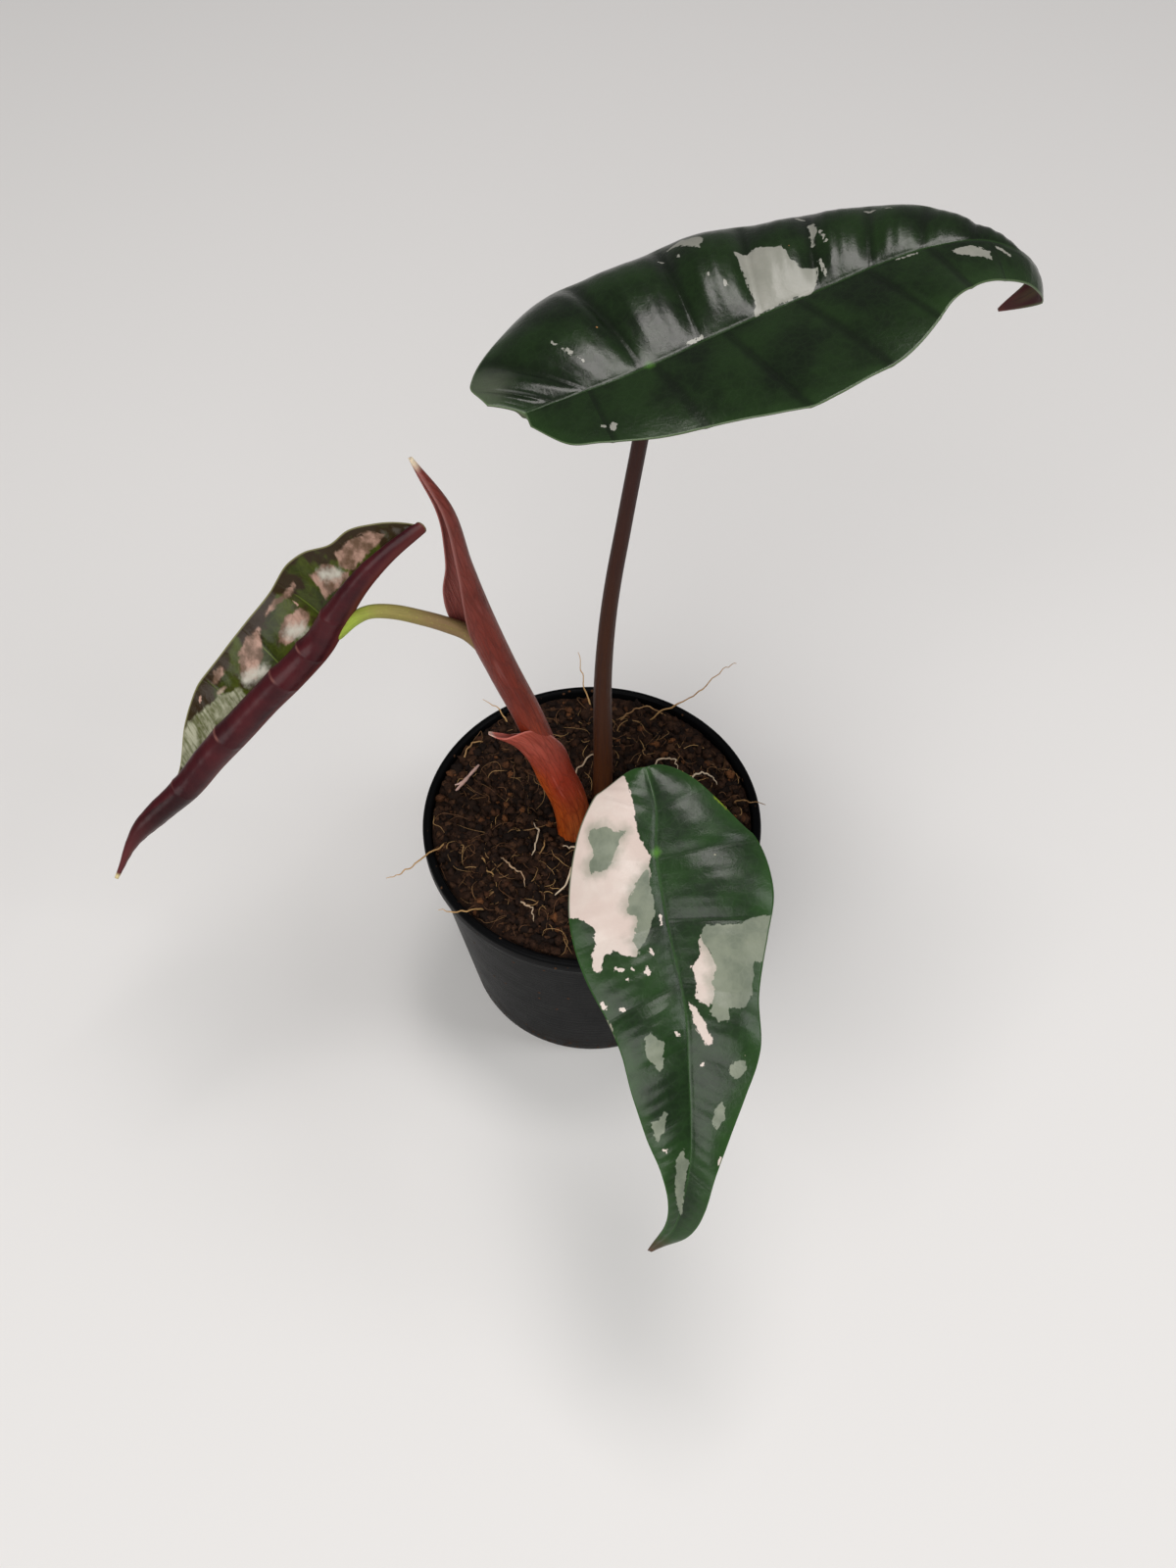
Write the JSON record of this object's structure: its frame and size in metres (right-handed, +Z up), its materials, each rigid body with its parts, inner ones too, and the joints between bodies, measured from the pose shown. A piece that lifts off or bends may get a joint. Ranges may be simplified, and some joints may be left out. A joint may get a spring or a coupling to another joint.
{
  "type": "potted variegated alocasia",
  "caption": "Young variegated alocasia with glossy cream-marked leaves on slim stalks, growing from a filled round nursery pot.",
  "frame": {"origin": "middle of the pot's flat underside", "axes": "+Z up along the pot's axis, +Y away from the viewer of the picture, +X to the viewer's right, where the large leaf points"},
  "size_m": [0.251, 0.2106, 0.2624],
  "materials": {
    "pot_plastic": "satin black moulded plastic with splashed soil specks",
    "potting_mix": "dark brown peat and coir crumbs with tan fibres",
    "crown": "rough brown corm",
    "dark_stalk": "smooth brown-purple skin, satin",
    "green_stalk": "smooth olive green skin, satin",
    "leaf_dark": "glossy dark green, quilted between the veins, with cream and grey-green sectors",
    "leaf_young": "glossy, maroon underside, dark olive upper face with cream and pink streaks",
    "sheath": "thin salmon-red sheath with fine darker veins, satin"
  },
  "bodies": {
    "root": {"pot": "pot_plastic", "potting_mix": "potting_mix", "crown": "crown", "stalk_back": "dark_stalk", "leaf_back": "leaf_dark", "stalk_front": "dark_stalk", "leaf_front": "leaf_dark", "stalk_young": "green_stalk", "leaf_young": "leaf_young", "sheath_tall": "sheath", "sheath_short": "sheath"}
  },
  "joints": []
}
